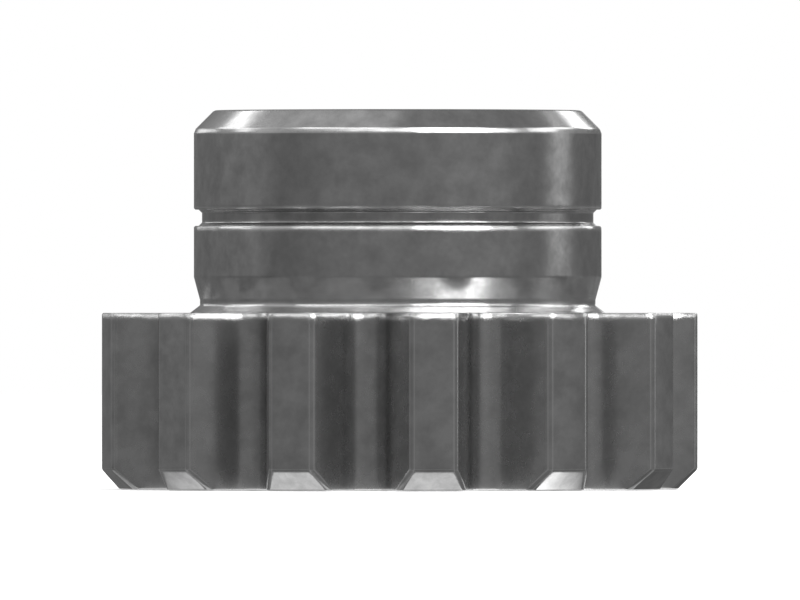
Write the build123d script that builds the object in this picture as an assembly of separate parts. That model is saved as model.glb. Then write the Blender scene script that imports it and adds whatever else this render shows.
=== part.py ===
from build123d import *
import math
import os

# Splined drive adapter, one piece of steel: a short external spline, and above it a
# spigot with a retaining ring groove. A keyed bore for the driving shaft runs through.
# Millimetres, +Z up along the axis of rotation. The origin is on that axis at the
# spline's end face, which the part stands on. One tooth is centred on +X.

# External spline: involute flanks, and one full round from flank to flank at the root
tooth_count = 13
module = 3.175  # pitch diameter per tooth
pressure_angle = 30.0
tooth_thickness = 4.9  # measured along the pitch circle
addendum = 1.42  # from the pitch circle up to the tooth tip
flank_depth = 1.6  # from the pitch circle down to where the flank meets the root
spline_length = 13.0
spline_lead_in = 1.5  # 45 degree chamfer on the tooth tips, at the end face
side_edge_break = 0.2  # along both sides of each tooth tip
end_edge_break = 0.1  # at both ends of the spline

# Spigot
spigot_diameter = 30.0
spigot_length = 14.9
spigot_chamfer = 1.5
chamfer_edge_break = 0.2  # where the chamfer meets the side of the spigot
lip_edge_break = 0.1  # at the spigot's end face and both lips of the groove

# Retaining ring groove in the spigot
groove_depth = 0.6
groove_width = 1.2
groove_from_end = 7.3  # from the spigot's end face to the groove
groove_corner = 0.25  # 45 degree corners that the grooving tool leaves at the floor

# Undercut between the spigot and the shoulder of the spline
neck_depth = 0.45
neck_length = 0.4
neck_taper_angle = 15.0  # of the cone from the neck up to the spigot
flare_width = 0.73
flare_height = 0.56

# Keyed bore
bore_diameter = 16.0
bore_lead_in = 0.8
keyway_width = 5.0
keyway_depth = 2.3  # beyond the wall of the bore

pitch_diameter = tooth_count * module
base_radius = pitch_diameter / 2 * math.cos(math.radians(pressure_angle))
tip_radius = pitch_diameter / 2 + addendum
form_radius = pitch_diameter / 2 - flank_depth
spigot_radius = spigot_diameter / 2
groove_radius = spigot_radius - groove_depth
neck_radius = spigot_radius - neck_depth
bore_radius = bore_diameter / 2
total_height = spline_length + spigot_length
groove_top = total_height - groove_from_end
groove_bottom = groove_top - groove_width


def involute(angle):
    """Polar angle that an involute sweeps where its pressure angle is this one."""
    return math.tan(angle) - angle


def gap_half_angle(radius):
    """Half of the angle that the gap between two teeth spans at a radius."""
    at_pitch = tooth_thickness / pitch_diameter
    at_base = at_pitch + involute(math.radians(pressure_angle))
    tooth_half_angle = at_base - involute(math.acos(base_radius / radius))
    return math.pi / tooth_count - tooth_half_angle


def root_radius():
    """How far from the axis the root is where its round runs smoothly into both flanks."""
    half_angle = gap_half_angle(form_radius)
    half_width = form_radius * math.sin(half_angle)
    flank_slope = math.acos(base_radius / form_radius) + half_angle
    centre = form_radius * math.cos(half_angle) + half_width * math.tan(flank_slope)
    return centre - half_width / math.cos(flank_slope)


def flank_points(side):
    """Points on one flank of the gap at +X, from the root's round to just past the tips."""
    outer_radius = tip_radius + end_edge_break
    steps = 5
    points = []
    for step in range(steps + 1):
        radius = form_radius + (outer_radius - form_radius) * step / steps
        angle = side * gap_half_angle(radius)
        points.append((radius * math.cos(angle), radius * math.sin(angle)))
    return points


def tooth_gap():
    """Outline of the gap between two teeth, centred on +X and open past the tips."""
    right = flank_points(-1)
    left = flank_points(1)
    root = ThreePointArc(right[0], (root_radius(), 0), left[0])
    mouth = ThreePointArc(right[-1], (tip_radius + addendum, 0), left[-1])
    return make_face([root, Spline(*left), mouth, Spline(*right)])


def section_outline():
    """Half section of the turned blank: radius across, height up."""
    flare_top = spline_length + flare_height
    neck_top = flare_top + neck_length
    taper_top = neck_top + neck_depth / math.tan(math.radians(neck_taper_angle))
    return Polyline(
        (0, 0),
        (tip_radius - spline_lead_in, 0),
        (tip_radius, spline_lead_in),
        (tip_radius, spline_length),
        (neck_radius + flare_width, spline_length),
        (neck_radius, flare_top),
        (neck_radius, neck_top),
        (spigot_radius, taper_top),
        (spigot_radius, groove_bottom),
        (groove_radius, groove_bottom),
        (groove_radius, groove_top),
        (spigot_radius, groove_top),
        (spigot_radius, total_height - spigot_chamfer),
        (spigot_radius - spigot_chamfer, total_height),
        (0, total_height),
        close=True,
    )


def corners_at(sketch, points):
    """The corners of a sketch that lie at the given points."""
    return [sketch.vertices().sort_by_distance(point)[0] for point in points]


def turned_blank():
    """The part as it leaves the lathe, before its teeth and its bore are cut."""
    section = make_face(section_outline())
    groove_floor = [(groove_radius, groove_bottom), (groove_radius, groove_top)]
    section = chamfer(corners_at(section, groove_floor), groove_corner)
    lips = [
        (spigot_radius, groove_bottom),
        (spigot_radius, groove_top),
        (spigot_radius - spigot_chamfer, total_height),
    ]
    section = chamfer(corners_at(section, lips), lip_edge_break)
    chamfer_foot = [(spigot_radius, total_height - spigot_chamfer)]
    section = chamfer(corners_at(section, chamfer_foot), chamfer_edge_break)
    return revolve(Plane.XZ * section, Axis.Z)


def distance_from_axis(shape):
    """How far the middle of an edge or a face lies from the axis of rotation."""
    return math.hypot(shape.center().X, shape.center().Y)


def cut_teeth(blank):
    """Cuts the gaps between the teeth."""
    gap = extrude(tooth_gap(), spline_length)
    splined = blank
    for location in PolarLocations(0, tooth_count, start_angle=180 / tooth_count):
        splined -= location * gap
    return splined


def tooth_tips(splined):
    """The turned faces on the tips of the teeth: a cylinder and a lead-in cone on each."""
    faces = splined.faces()
    turned = faces.filter_by(GeomType.CYLINDER) + faces.filter_by(GeomType.CONE)
    return [face for face in turned if distance_from_axis(face) > pitch_diameter / 2]


def deburr_sides(splined):
    """Breaks the edges along both sides of each tooth tip."""
    sides = []
    for tip in tooth_tips(splined):
        sides += [edge for edge in tip.outer_wire().edges() if edge.geom_type != GeomType.CIRCLE]
    return chamfer(sides, side_edge_break)


def deburr_ends(splined):
    """Breaks the edges at both ends of the spline, and where each lead-in begins."""
    level = splined.faces().filter_by(GeomType.PLANE)
    sharp = []
    for end_face in level.filter_by_position(Axis.Z, 0, spline_length):
        sharp += end_face.outer_wire().edges()
    for tip in tooth_tips(splined):
        for edge in tip.outer_wire().edges().filter_by(GeomType.CIRCLE):
            if edge not in sharp:
                sharp.append(edge)
    return chamfer(sharp, end_edge_break)


def keyed_bore():
    """The hole for the driving shaft and its key, with a lead-in at both ends."""
    mouth_radius = bore_radius + bore_lead_in
    outline = Polyline(
        (0, 0),
        (mouth_radius, 0),
        (bore_radius, bore_lead_in),
        (bore_radius, total_height - bore_lead_in),
        (mouth_radius, total_height),
        (0, total_height),
        close=True,
    )
    bore = revolve(Plane.XZ * make_face(outline), Axis.Z)
    from_axis = (Align.MIN, Align.CENTER, Align.MIN)
    keyway = Box(bore_radius + keyway_depth, keyway_width, total_height, align=from_axis)
    return bore + keyway


splined_blank = cut_teeth(turned_blank())
adapter = deburr_ends(deburr_sides(splined_blank)) - keyed_bore()

os.makedirs("parts", exist_ok=True)
export_step(adapter, "parts/splined_adapter.step")
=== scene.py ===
# %% [markdown]
# # A splined drive adapter in machined steel
#
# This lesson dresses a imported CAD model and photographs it. The part is turned from one
# bar of steel: thirteen spline teeth below, a plain spigot with a retaining ring groove
# above, and a keyed bore through the middle. The CAD mesh already has the right shape, so
# the whole lesson is about its finish and its light. It starts by loading the model.

import math

import bpy
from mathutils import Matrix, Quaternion, Vector


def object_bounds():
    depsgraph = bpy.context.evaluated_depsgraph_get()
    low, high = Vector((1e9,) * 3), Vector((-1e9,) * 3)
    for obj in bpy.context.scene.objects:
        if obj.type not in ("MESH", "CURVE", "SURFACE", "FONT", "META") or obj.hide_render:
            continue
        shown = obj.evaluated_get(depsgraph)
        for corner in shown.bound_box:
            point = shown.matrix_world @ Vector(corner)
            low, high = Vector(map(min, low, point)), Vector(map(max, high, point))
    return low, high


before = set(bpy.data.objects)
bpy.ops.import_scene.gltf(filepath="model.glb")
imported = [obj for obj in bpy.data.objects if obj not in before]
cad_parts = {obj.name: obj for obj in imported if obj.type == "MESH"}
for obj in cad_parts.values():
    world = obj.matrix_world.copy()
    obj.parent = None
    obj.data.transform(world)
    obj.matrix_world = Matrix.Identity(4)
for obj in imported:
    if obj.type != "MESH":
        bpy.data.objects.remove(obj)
cad_low, cad_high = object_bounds()
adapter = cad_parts["splined_adapter"]
print("loaded", adapter.name, "with", len(adapter.data.polygons), "triangles")

# %% [markdown]
# ## Units, colours and directions
#
# Blender counts in metres, and workshop sizes are in millimetres, so each size below is
# written as a number times mm. Colours are easiest to name as hex values, as a paint
# chart does, but shaders add light in linear values, and one function turns the first
# into the second. Lamps and cards are easiest to place by the direction in which they
# lie, so another function turns an azimuth and an elevation into a point.

# %% Units, colours and directions
mm = 0.001


def linear(hex_colour):
    """Turns an sRGB hex value such as "C0C0C0" into the linear colour that a shader takes."""
    channels = [int(hex_colour[i : i + 2], 16) / 255 for i in (0, 2, 4)]
    curved = [c / 12.92 if c <= 0.04045 else ((c + 0.055) / 1.055) ** 2.4 for c in channels]
    return (*curved, 1)


def towards(azimuth, elevation, distance):
    """The point this way from the origin. Azimuth 0 is the camera's side, 90 is its right."""
    a, e = math.radians(azimuth), math.radians(elevation)
    flat = distance * math.cos(e)
    return Vector((flat * math.sin(a), -flat * math.cos(a), distance * math.sin(e)))


print("mid grey, 808080, is", round(linear("808080")[0], 3), "in linear light")

# %% [markdown]
# ## A helper for nodes
#
# A material is a small graph. Adding a node, changing its settings and joining it to
# others takes several lines in Blender, so one function does all three: an input that is
# given a socket is linked, and one that is given a number or a colour is set. An input
# goes by its name, or by its number where several share a name: a Mix node takes two
# colours at its inputs 6 and 7, and two plain numbers at 2 and 3.

# %% The node helper
def add_node(tree, kind, inputs, **settings):
    """Adds a node of a kind, such as "TexNoise", with its settings and its inputs."""
    node = tree.nodes.new("ShaderNode" + kind)
    for name, value in settings.items():
        setattr(node, name, value)
    for name, value in inputs.items():
        if isinstance(value, bpy.types.NodeSocket):
            tree.links.new(value, node.inputs[name])
        else:
            node.inputs[name].default_value = value
    return node


def empty_material(name):
    """A new material with nothing but its output. Returns it, its graph and that output."""
    material = bpy.data.materials.new(name)
    material.use_nodes = True
    material.node_tree.nodes.clear()
    output = add_node(material.node_tree, "OutputMaterial", {})
    return material, material.node_tree, output


# %% [markdown]
# ## The steel and its film of oil
#
# The adapter is alloy steel, turned and hobbed, then tumbled so that every surface has
# the same soft satin. Satin steel is a metal with a middling roughness: it mirrors the
# studio as blurred bands. Handling leaves thin films of oil on it, cloudy smudges about a
# millimetre across that are a little darker and blur a little more. A picture of smudges
# could be wrapped round the part, but it would stretch on the flanks and show a seam.
# Noise that fills the space round the part needs no wrapping, and fits every surface.

# %% Steel with a film of oil
clean_steel = linear("C8C8C8")
filmed_steel = linear("ACACAC")
smudge_size = 1.6 * mm
finer_smudges = 3.0  # how many layers of finer smudges lie in the large ones
finer_strength = 0.6  # how strong each of them is, next to the one before it
film_starts, film_full = 0.32, 0.68  # strengths of the noise

steel, tree, output = empty_material("satin_machined_steel")
place = add_node(tree, "TexCoord", {}).outputs["Object"]
smudges = add_node(
    tree,
    "TexNoise",
    {
        "Vector": place,
        "Scale": 1 / smudge_size,
        "Detail": finer_smudges,
        "Roughness": finer_strength,
    },
).outputs["Fac"]
film = add_node(
    tree, "MapRange", {"Value": smudges, "From Min": film_starts, "From Max": film_full}
).outputs["Result"]
colour = add_node(
    tree, "Mix", {0: film, 6: clean_steel, 7: filmed_steel}, data_type="RGBA"
).outputs[2]
print("the largest smudges are", round(smudge_size / mm, 1), "mm apart")

# %% [markdown]
# ## Painted shade between the teeth
# #
# # The hobbed flanks and roots between the teeth are rougher than what was turned, and
# # their colour gets a painted shade, darker because the gaps lie in shade. They could be
# # picked out face by face, but a packed mesh may number its faces anew each time. Their
# # place on the part doesn't change, so the material asks how high a point lies and how far
# # from the axis, and makes a mask from that: 1 where the steel is darker, 0 elsewhere.
# # Compare, one of the Math node's operations, gives 1 as far as half a height from a middle.

# %% Mask for the gaps between the teeth
spline_middle = 6.5 * mm
spline_half = 6.45 * mm  # ends just short of the end face and just short of the shoulder
lead_in_height = 1.5 * mm
end_face_tip_reach = 20.2 * mm  # just inside the tooth tips at the end face ...
tip_reach = 21.7 * mm  # ... and just inside them above the lead-in
bore_reach = 12 * mm  # well outside the bore and well inside the roots


def where_all(tree, masks):
    """1 where every mask is 1, else 0."""
    result = masks[0]
    for mask in masks[1:]:
        result = add_node(tree, "Math", {0: result, 1: mask}, operation="MULTIPLY").outputs[0]
    return result


height = add_node(tree, "SeparateXYZ", {0: place}).outputs["Z"]
flat = add_node(tree, "VectorMath", {0: place, 1: (1, 1, 0)}, operation="MULTIPLY").outputs[0]
reach = add_node(tree, "VectorMath", {0: flat}, operation="LENGTH").outputs["Value"]
outside_bore = add_node(
    tree, "Math", {0: reach, 1: bore_reach}, operation="GREATER_THAN"
).outputs[0]

beside_spline = add_node(
    tree, "Math", {0: height, 1: spline_middle, 2: spline_half}, operation="COMPARE"
).outputs[0]
tips = add_node(
    tree,
    "MapRange",
    {
        "Value": height,
        "From Max": lead_in_height,
        "To Min": end_face_tip_reach,
        "To Max": tip_reach,
    },
).outputs["Result"]
inside_tips = add_node(tree, "Math", {0: reach, 1: tips}, operation="LESS_THAN").outputs[0]
between_teeth = where_all(tree, [beside_spline, inside_tips, outside_bore])
print("between the teeth up to", round((spline_middle + spline_half) / mm, 2), "mm")

# %% [markdown]
# ## Painted shade in the groove
# #
# # The ring groove gets the same painted shade, darker in that recess. A second mask finds
# # it, and where either mask is 1 the steel's colour is multiplied by the painted shade. A
# # second material in a darker colour would do as well, but its smudges and its rounds
# # would have to be kept in step with those of the first.

# %% Mask for the groove, and the shade
painted_recess_shade = linear("EEEEEE")  # painted shade: what the steel keeps of its colour between the teeth and in the groove
groove_middle = 20.0 * mm
groove_half = 0.6 * mm
groove_reach = 14.8 * mm  # just inside the side of the spigot

beside_groove = add_node(
    tree, "Math", {0: height, 1: groove_middle, 2: groove_half}, operation="COMPARE"
).outputs[0]
inside_spigot = add_node(
    tree, "Math", {0: reach, 1: groove_reach}, operation="LESS_THAN"
).outputs[0]
in_groove = where_all(tree, [beside_groove, inside_spigot, outside_bore])

# painted shade: 1 between the teeth and in the groove, where the colour is darkened
darker = add_node(tree, "Math", {0: between_teeth, 1: in_groove}, operation="MAXIMUM").outputs[0]
shaded = add_node(
    tree,
    "Mix",
    {0: darker, 6: colour, 7: painted_recess_shade},
    data_type="RGBA",
    blend_type="MULTIPLY",
).outputs[2]
groove_ends = [round((groove_middle + side * groove_half) / mm, 1) for side in (-1, 1)]
print("ring groove between the heights", groove_ends, "in mm")

# %% [markdown]
# ## How round each edge is
# #
# # No edge of the real part is sharp. Most are rounded by a tenth to half a millimetre, and
# # two are rubbed rounder, the shoulder's and the lower lip of the ring groove. A ramp with
# # steps turns the height on the part into three numbers, kept as red, green and blue: the
# # radius that the edges have there, how far it varies from spot to spot (the lathe's edges
# # are even, and those of the teeth aren't), and how strong the painted highlight on the
# # rounds is. A mask for each edge would do as well, but a row in a table is easier to
# # change.

# %% Rounds by height
edge_rounds = [  # from this height in mm: the radius in mm, how far it varies, how strong the painted highlight is
    (0.0, 0.2, 0.3, 1.0),  # the end face
    (0.6, 0.2, 0.2, 1.0),  # the lower part of the lead-in
    (1.1, 0.28, 0.2, 1.0),  # the teeth
    (12.2, 0.75, 0.25, 0.5),  # the shoulder
    (13.02, 0.5, 0.1, 0.4),  # the undercut
    (14.05, 0.25, 0.0, 0.0),  # the lower half of the spigot
    (18.4, 0.65, 0.0, 0.7),  # the lower lip of the ring groove
    (19.4, 0.12, 0.0, 1.0),  # the lower corner of that groove
    (19.68, 0.32, 0.0, 0.0),  # the lower half of its floor
    (20.0, 0.16, 0.0, 0.2),  # its upper corner
    (20.6, 0.45, 0.0, 0.8),  # its upper lip
    (21.2, 0.25, 0.1, 1.0),  # the upper half of the spigot
    (27.4, 0.17, 0.0, 0.5),  # the end of the spigot
]
part_height = cad_high.z / mm

share_of_height = add_node(
    tree, "Math", {0: height, 1: cad_high.z}, operation="DIVIDE"
).outputs[0]
steps = add_node(tree, "ValToRGB", {"Fac": share_of_height})
ramp = steps.color_ramp
ramp.interpolation = "CONSTANT"
ramp.elements.remove(ramp.elements[1])
for level, radius_here, variation, highlight_share in edge_rounds:
    stop = ramp.elements[0] if level == 0 else ramp.elements.new(level / part_height)
    stop.color = (radius_here * mm, variation * radius_here * mm, highlight_share, 1)
radius, spread, edge_highlight_share = add_node(
    tree, "SeparateColor", {"Color": steps.outputs["Color"]}
).outputs
radii = [radius_here for _, radius_here, _, _ in edge_rounds]
print("edges rounded by", min(radii), "to", max(radii), "mm")

# %% [markdown]
# ## Rounded edges
#
# Each round catches a fine line of light. The rounds could be modelled, but some two
# hundred curved edges would need a very heavy mesh, so the Bevel node bends the normals
# near each edge instead. The noise of the smudges makes the radius larger here and
# smaller there, and the lines of light swell and thin with it, as on the real part.

# %% Bent normals
smallest_at, largest_at = 0.3, 0.7  # strengths of the noise
bevel_samples = 8  # more of them make the rounds less grainy, and slower to render

chance = add_node(
    tree,
    "MapRange",
    {"Value": smudges, "From Min": smallest_at, "From Max": largest_at, "To Min": -1.0},
).outputs["Result"]
edge_round = add_node(
    tree, "Math", {0: chance, 1: spread, 2: radius}, operation="MULTIPLY_ADD"
).outputs[0]
rounded = add_node(tree, "Bevel", {"Radius": edge_round}, samples=bevel_samples).outputs["Normal"]
print("normals bent near the edges, with", bevel_samples, "samples each")

# %% [markdown]
# ## Polish and a painted highlight on the rounds
# #
# # The rounds are more polished than the faces, so they blur less, and their colour gets a
# # painted highlight, a whiter steel that brightens the lines of light. Both could be
# # painted along the edges by hand, but the bent normals already know where they are: a
# # surface is on a round where the bent normal leaves the real one. The three finishes then
# # meet in one shader: turned faces with their film, the rougher steel between the teeth,
# # and the polished rounds with their painted highlight.

# %% The finished steel
painted_edge_highlight = linear("F0F0F0")  # painted highlight: the whiter colour of the rounds
round_starts, round_full = 0.995, 0.95  # how alike the two normals are, where 1 is the same
clean_blur, filmed_blur = 0.16, 0.22  # roughness of a turned face
hobbed_blur = 0.09  # added to it between the teeth
round_blur = 0.08

real_normal = add_node(tree, "NewGeometry", {}).outputs["Normal"]
likeness = add_node(
    tree, "VectorMath", {0: rounded, 1: real_normal}, operation="DOT_PRODUCT"
).outputs["Value"]
on_round = add_node(
    tree, "MapRange", {"Value": likeness, "From Min": round_starts, "From Max": round_full}
).outputs["Result"]
# painted highlight: how much of the whiter colour a point on a round gets
edge_highlight_here = add_node(
    tree, "Math", {0: on_round, 1: edge_highlight_share}, operation="MULTIPLY"
).outputs[0]
finish = add_node(
    tree, "Mix", {0: edge_highlight_here, 6: shaded, 7: painted_edge_highlight}, data_type="RGBA"
).outputs[2]

turned_blur = add_node(
    tree, "MapRange", {"Value": film, "To Min": clean_blur, "To Max": filmed_blur}
).outputs["Result"]
face_blur = add_node(
    tree, "Math", {0: between_teeth, 1: hobbed_blur, 2: turned_blur}, operation="MULTIPLY_ADD"
).outputs[0]
blur = add_node(
    tree, "Mix", {0: on_round, 2: face_blur, 3: round_blur}, data_type="FLOAT"
).outputs[0]
shader = add_node(
    tree,
    "BsdfPrincipled",
    {"Base Color": finish, "Metallic": 1.0, "Roughness": blur, "Normal": rounded},
)
tree.links.new(shader.outputs["BSDF"], output.inputs["Surface"])
for slot in adapter.material_slots:
    slot.material = steel
print("satin steel on", len(adapter.material_slots), "material slot")

# %% [markdown]
# ## The white background
#
# The photograph was taken in front of white. Lamps bright enough to turn everything
# behind the part pure white would also bleach the part, so the last of the white comes
# from the Light Path node: what the camera, or a mirror or glass, looks at directly is
# white, and what only receives light from there gets a little less of it.

# %% Background
sky_seen = 1.0
sky_light = 0.8

world = bpy.data.worlds.new("white_background")
bpy.context.scene.world = world
world.use_nodes = True
tree = world.node_tree
tree.nodes.clear()


def seen_directly(tree):
    """1 where the camera, a mirror or a glass looks straight at a surface, else 0."""
    path = add_node(tree, "LightPath", {})
    seen = path.outputs["Is Camera Ray"]
    for ray in ("Is Glossy Ray", "Is Transmission Ray"):
        either = {0: seen, 1: path.outputs[ray]}
        seen = add_node(tree, "Math", either, operation="MAXIMUM").outputs[0]
    return seen


strength = add_node(
    tree, "MapRange", {"Value": seen_directly(tree), "To Min": sky_light, "To Max": sky_seen}
).outputs["Result"]
sky = add_node(tree, "Background", {"Color": linear("FFFFFF"), "Strength": strength})
world_output = add_node(tree, "OutputWorld", {})
tree.links.new(sky.outputs[0], world_output.inputs["Surface"])
print("background:", world.name)

# %% [markdown]
# ## The floor
#
# The part stands on matt white paint, which takes a soft shadow and mirrors nothing. More
# lamps would whiten the paint, but they would bleach the part as well. So the paint has
# the background's trick, a little glow of its own where it is seen directly. It still
# shows the shadow, because the glow is added to the light that reaches it. From below the
# floor is clear, so that the end face of the spline can be looked at too.

# %% Floor
floor_size = 4.0
floor_glow = 0.4

bpy.ops.mesh.primitive_plane_add(size=floor_size)
floor = bpy.context.object
floor.name = "floor"
paint, tree, output = empty_material("matt_white_paint")
matt = add_node(tree, "BsdfDiffuse", {"Color": linear("F0F0F0")})
glow = add_node(
    tree, "MapRange", {"Value": seen_directly(tree), "To Max": floor_glow}
).outputs["Result"]
lit = add_node(tree, "Emission", {"Strength": glow})
both = add_node(tree, "AddShader", {0: matt.outputs[0], 1: lit.outputs[0]})
one_sided = add_node(
    tree,
    "MixShader",
    {
        0: add_node(tree, "NewGeometry", {}).outputs["Backfacing"],
        1: both.outputs[0],
        2: add_node(tree, "BsdfTransparent", {}).outputs[0],
    },
)
tree.links.new(one_sided.outputs[0], output.inputs["Surface"])
floor.data.materials.append(paint)
print("floor", floor_size, "m square")

# %% [markdown]
# ## Grey cards round the part
#
# Steel is a mirror, so it looks like whatever stands round it. In front of plain white
# it would be white too, with no shape. A photographer sets grey cards round polished
# metal and leaves gaps and lamps between them, and the metal then shows grey with bright
# bands. A picture of a studio could be wrapped round the scene instead, but cards can be
# moved one by one. Each is one sheet of glowing paper whose grey changes from corner to
# corner, which the Attribute node reads. The camera doesn't see them.

# %% Grey paper
grey_paper, tree, output = empty_material("grey_paper")
paper_grey = add_node(tree, "Attribute", {}, attribute_name="grey").outputs["Fac"]
light = add_node(tree, "Emission", {"Strength": paper_grey})
tree.links.new(light.outputs[0], output.inputs["Surface"])


def arc(start, end, radius, level, grey_at, steps=24):
    """Corners on a level arc between two azimuths: x, y, z and the grey of the paper there."""
    corners = []
    for i in range(steps + 1):
        azimuth = start + (end - start) * i / steps
        point = towards(azimuth, 0, radius)
        corners.append((point.x, point.y, level, grey_at(azimuth)))
    return corners


def add_card(name, rows):
    """A sheet of grey paper, hidden from the camera. Each row of corners joins the next."""
    columns = len(rows[0])
    corners = [corner for row in rows for corner in row]
    faces = []
    for r in range(len(rows) - 1):
        for c in range(columns - 1):
            first = r * columns + c
            faces.append((first, first + 1, first + 1 + columns, first + columns))
    mesh = bpy.data.meshes.new(name)
    mesh.from_pydata([corner[:3] for corner in corners], [], faces)
    mesh.materials.append(grey_paper)
    greys = mesh.attributes.new("grey", "FLOAT", "POINT")
    greys.data.foreach_set("value", [corner[3] for corner in corners])
    card = bpy.data.objects.new(name, mesh)
    bpy.context.scene.collection.objects.link(card)
    card.visible_camera = False
    card.visible_diffuse = False
    card.visible_shadow = False


print("paper for the cards:", grey_paper.name)

# %% [markdown]
# ## The wall
#
# A ring-shaped wall stands round the part. Its grey is set at some azimuths, low down and
# high up, and changes evenly between them, so the spigot shows soft bands from left to
# right. Behind the part the wall leaves a gap that lets in the white background, which
# draws a light rim down both sides. A header closes the upper part of that gap.

# %% Wall
room_radius = 0.6
wall_height = 0.5
wall_rows = 8
wall_steps = 90
gap_start = 172  # azimuth where the wall ends, behind the part
header_height = 90 * mm
header_grey = 0.28
full_height = 0.3
wall_stops = [  # azimuth, grey at the floor, grey at full_height and above
    (-180, 0.15, 0.28),
    (-150, 0.165, 0.38),
    (-126, 0.19, 0.42),
    (-112, 0.225, 0.46),
    (-84, 0.225, 0.55),
    (-70, 0.14, 0.42),
    (-52, 0.14, 0.40),
    (-38, 0.20, 0.50),
    (16, 0.20, 0.50),
    (32, 0.25, 0.50),
    (62, 0.25, 0.45),
    (76, 0.17, 0.40),
    (90, 0.18, 0.45),
    (104, 0.75, 0.60),
    (118, 0.17, 0.40),
    (140, 0.145, 0.38),
    (gap_start, 0.13, 0.28),
]


def wall_grey(azimuth, level):
    """The wall's grey at a point, from the stops on either side of it."""
    nearest = max(i for i in range(len(wall_stops) - 1) if wall_stops[i][0] <= azimuth)
    left, right = wall_stops[nearest], wall_stops[nearest + 1]
    along = (azimuth - left[0]) / (right[0] - left[0])
    low = left[1] + (right[1] - left[1]) * along
    high = left[2] + (right[2] - left[2]) * along
    return low + (high - low) * min(1, level / full_height)


def wall_row(level):
    """One level row of the wall."""

    def grey_at(azimuth):
        return wall_grey(azimuth, level)

    return arc(-180, gap_start, room_radius, level, grey_at, wall_steps)


def plain(grey):
    """Paper that has one grey at every azimuth."""
    return lambda azimuth: grey


add_card("wall", [wall_row(wall_height * row / wall_rows) for row in range(wall_rows + 1)])
header = [
    arc(gap_start, 180, room_radius, level, plain(header_grey))
    for level in (header_height, wall_height)
]
add_card("rear_header", header)
print("wall", wall_height, "m high, gap", 180 - gap_start, "degrees wide")

# %% [markdown]
# ## The ceiling
#
# The chamfer at the end of the spigot looks up, so it mirrors a ceiling. Its two halves
# differ because the photograph's light does: the left one is paler, and both are darker
# at the rear, which the lip at the spigot's end mirrors.

# %% Ceiling
ceiling_hole = 1 * mm
left_grey = 0.55
left_fade = 0.006  # with each degree from left_rear on
left_rear = -130  # azimuth
right_grey, right_rear_grey = 0.30, 0.24
right_rear = 120


def left_ceiling_grey(azimuth):
    """Fades towards the rear."""
    return left_grey - left_fade * max(0, left_rear - azimuth)


def right_ceiling_grey(azimuth):
    """Darker at the rear."""
    return right_grey if azimuth < right_rear else right_rear_grey


for name, start, grey_at in (
    ("left_ceiling", -180, left_ceiling_grey),
    ("right_ceiling", 0, right_ceiling_grey),
):
    outer = arc(start, start + 180, room_radius, wall_height, grey_at)
    inner = arc(start, start + 180, ceiling_hole, wall_height, grey_at)
    add_card(name, [outer, inner])
print("ceiling at", wall_height, "m")

# %% [markdown]
# ## The collar
# #
# # The undersides of the edges look down, so a low collar of paper lies on the floor round
# # the part. Close to the part it is dark below each tooth, a painted shadow of the tooth on
# # the floor, and pale below each gap, which keeps the lower ends of the flanks apart from
# # the tips. Farther out it is an even grey, a little darker at the far left, and darker at
# # the right where the lead-ins see it.

# %% Collar
tooth_pitch = 360 / 13
tooth_turn = 6.92  # azimuth of the tooth that is nearest to the camera's side
lead_in_width = 13.2  # of a tooth's end face, in degrees
end_face_reach = 20.4 * mm
collar_height = 0.1 * mm
collar_hole = 18.3 * mm
collar_edge = 0.1 * mm  # over which the grey changes at the reach of the end face
near_reach = 24 * mm  # the lead-ins look down on the ring that ends here
outer_reach = 26 * mm
collar_steps = 720
# painted shadow: the dark grey below each tooth stands for the tooth's shade on the floor
painted_tooth_shadow, gap_grey = 0.10, 0.70
collar_grey, far_left_grey, near_right_grey = 0.21, 0.17, 0.15
left_dusk_ends = -62  # azimuth
right_dusk_starts, right_dusk_ends = 50, 150


def inner_grey(azimuth):
    """The collar close to the part: a painted shadow below a tooth, pale below a gap."""
    from_tooth = abs((azimuth - tooth_turn + tooth_pitch / 2) % tooth_pitch - tooth_pitch / 2)
    return painted_tooth_shadow if from_tooth < lead_in_width / 2 else gap_grey


def outer_grey(azimuth):
    """The rest of the collar, darker at the far left."""
    return far_left_grey if azimuth < left_dusk_ends else collar_grey


def near_grey(azimuth):
    """The ring that the lead-ins look down on, darker at the right."""
    in_dusk = right_dusk_starts < azimuth < right_dusk_ends
    return near_right_grey if in_dusk else outer_grey(azimuth)


collar_rings = [
    (collar_hole, inner_grey),
    (end_face_reach - collar_edge, inner_grey),
    (end_face_reach, near_grey),
    (near_reach, near_grey),
    (outer_reach, outer_grey),
    (room_radius, outer_grey),
]
collar = [
    arc(-180, 180, ring_reach, collar_height, grey_at, collar_steps)
    for ring_reach, grey_at in collar_rings
]
add_card("collar", collar)
print("collar of", len(collar_rings), "rings from", round(collar_hole / mm, 1), "mm outwards")

# %% [markdown]
# ## Feet and glints
#
# The lead-in chamfers look down on the floor in front of the teeth, and in the photograph
# they shine. Four small white feet lie below the teeth that face the camera, each with
# the outline in which its chamfer mirrors the floor. Five thin glints lie beside them,
# which the broken edges next to the lead-ins mirror as fine lines of light. A white floor
# would light them all, but also every flank between them, so each piece of white is only
# as large as what mirrors it.

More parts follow.
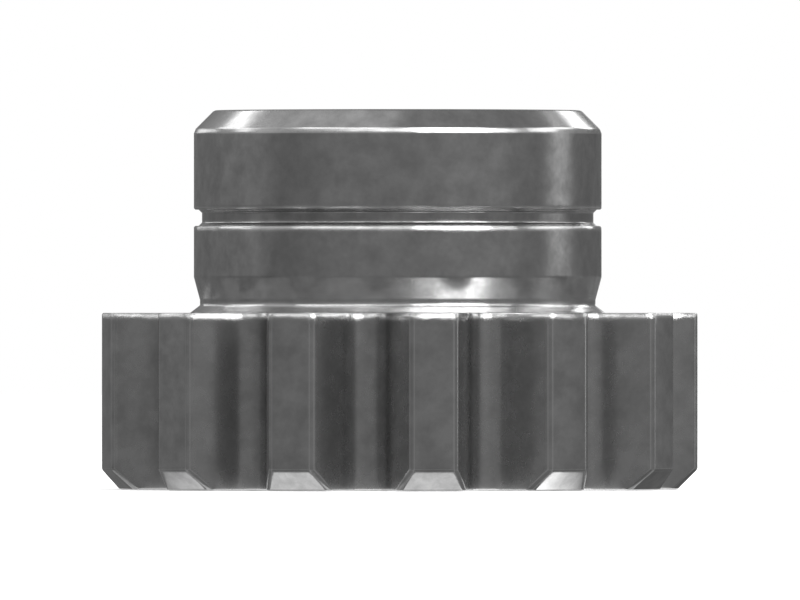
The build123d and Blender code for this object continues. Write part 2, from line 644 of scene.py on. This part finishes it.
# %% Feet and glints
foot_lift = 0.02 * mm  # above the collar
foot_height = collar_height + foot_lift
foot_reach = 22.2 * mm
glint_reach = 23.8 * mm
feet = {  # name: reach, near end's left and right azimuth, far end's, grey at the near ones
    "foot_a": (foot_reach, -54.16, -41.86, -55.56, -47.76, 0.51, 1.05),
    "foot_b": (foot_reach, -26.94, -14.17, -25.94, -18.17, 1.05, 1.00),
    "foot_c": (foot_reach, 0.62, 13.52, 3.62, 11.52, 1.00, 1.00),
    "foot_d": (foot_reach, 28.26, 40.4, 33.56, 40.7, 2.56, 0.46),
    "left_glint": (glint_reach, -69.6, -68.0, -77.0, -73.5, 0.5, 0.5),
    "glint_a": (glint_reach, -42.0, -41.4, -45.4, -44.7, 0.8, 0.8),
    "glint_b": (glint_reach, -14.3, -13.7, -15.5, -14.9, 0.8, 0.8),
    "glint_c": (glint_reach, -0.4, 0.4, -0.6, 0.2, 0.45, 0.45),
    "right_glint": (glint_reach, 55.2, 56.3, 59.2, 61.0, 0.5, 0.5),
}


def sloping(left, right, grey_at_left, grey_at_right):
    """A grey that changes evenly from one azimuth to another, and on beyond them."""
    slope = (grey_at_right - grey_at_left) / (right - left)
    return lambda azimuth: grey_at_left + slope * (azimuth - left)


for name, (far_reach, near_left, near_right, far_left, far_right, *greys) in feet.items():
    foot_grey = sloping(near_left, near_right, *greys)
    near = arc(near_left, near_right, end_face_reach, foot_height, foot_grey)
    far = arc(far_left, far_right, far_reach, foot_height, foot_grey)
    add_card(name, [near, far])

# %% [markdown]
# ## The lamps
#
# Eleven softboxes, as in a product studio. The large key lamp stands in front on the right
# and draws the white line along each rounded edge. The others are narrow or far behind
# and draw the bands on the chamfer and the spigot. Glowing cards could do the same work,
# but light from a lamp comes out with less noise.

# %% Softboxes
lamp_distance = 0.5
watts_for_white = 4.0  # per square metre: what makes a lamp as bright to see as white paper


def add_softbox(name, azimuth, elevation, width, height, brightness, roll=0):
    """A rectangular lamp aimed at the part. Its width, height and roll are angles in degrees."""
    across = 2 * lamp_distance * math.tan(math.radians(width / 2))
    upright = 2 * lamp_distance * math.tan(math.radians(height / 2))
    lamp = bpy.data.lights.new(name, "AREA")
    lamp.shape = "RECTANGLE"
    lamp.size = across
    lamp.size_y = upright
    lamp.energy = brightness * watts_for_white * across * upright
    body = bpy.data.objects.new(name, lamp)
    body.location = towards(azimuth, elevation, lamp_distance)
    body.rotation_mode = "QUATERNION"
    aim = body.location.to_track_quat("Z", "Y")
    body.rotation_quaternion = aim @ Quaternion((0, 0, 1), math.radians(roll))
    body.visible_camera = False
    bpy.context.scene.collection.objects.link(body)


softboxes = {  # name: azimuth, elevation, width, height, brightness and, where turned, roll
    "key": (37, 43.7, 37, 27, 4.0, -16),
    "low_key": (36, 28.5, 18, 6, 2.6),
    "right_top": (66, 37, 20, 14, 2.0),
    "left_top": (-50, 54, 36, 16, 1.4),
    "front_top": (-8, 52, 26, 14, 0.85),
    "front_low": (2, 43, 20, 7, 1.6),
    "left_side": (-120, 35, 34, 13, 1.0),
    "low_left": (-146, 16, 30, 6, 0.8, 23),
    "right_side": (114, 36, 40, 14, 1.4),
    "rear_left": (-142.5, 38, 7, 15, 1.6),
    "rear_right": (153, 25, 12, 14, 2.2),
}
for name, settings in softboxes.items():
    add_softbox(name, *settings)
print("softboxes:", len(softboxes))

# %% [markdown]
# ## The camera
#
# The photograph was taken level with the middle of the part and from far away, with a
# long lens, so that upright edges stay upright and both ends look alike. The lens is
# worked out from the scale of the picture, which is 800 pixels wide.

# %% Camera
camera_distance = 2.0
picture_width = 800  # pixels
pixels_per_mm = 13.593
sensor_width = 36.0

camera_data = bpy.data.cameras.new("camera")
camera_data.sensor_width = sensor_width
camera_data.lens = pixels_per_mm * camera_distance / mm * sensor_width / picture_width
camera = bpy.data.objects.new("camera", camera_data)
middle = (cad_low + cad_high) / 2
camera.location = (middle.x, -camera_distance, middle.z)
camera.rotation_euler = (math.radians(90), 0, 0)
bpy.context.scene.collection.objects.link(camera)
bpy.context.scene.camera = camera
bpy.context.scene.view_settings.view_transform = "Standard"
print("lens", round(camera_data.lens), "mm at", camera_distance, "m")
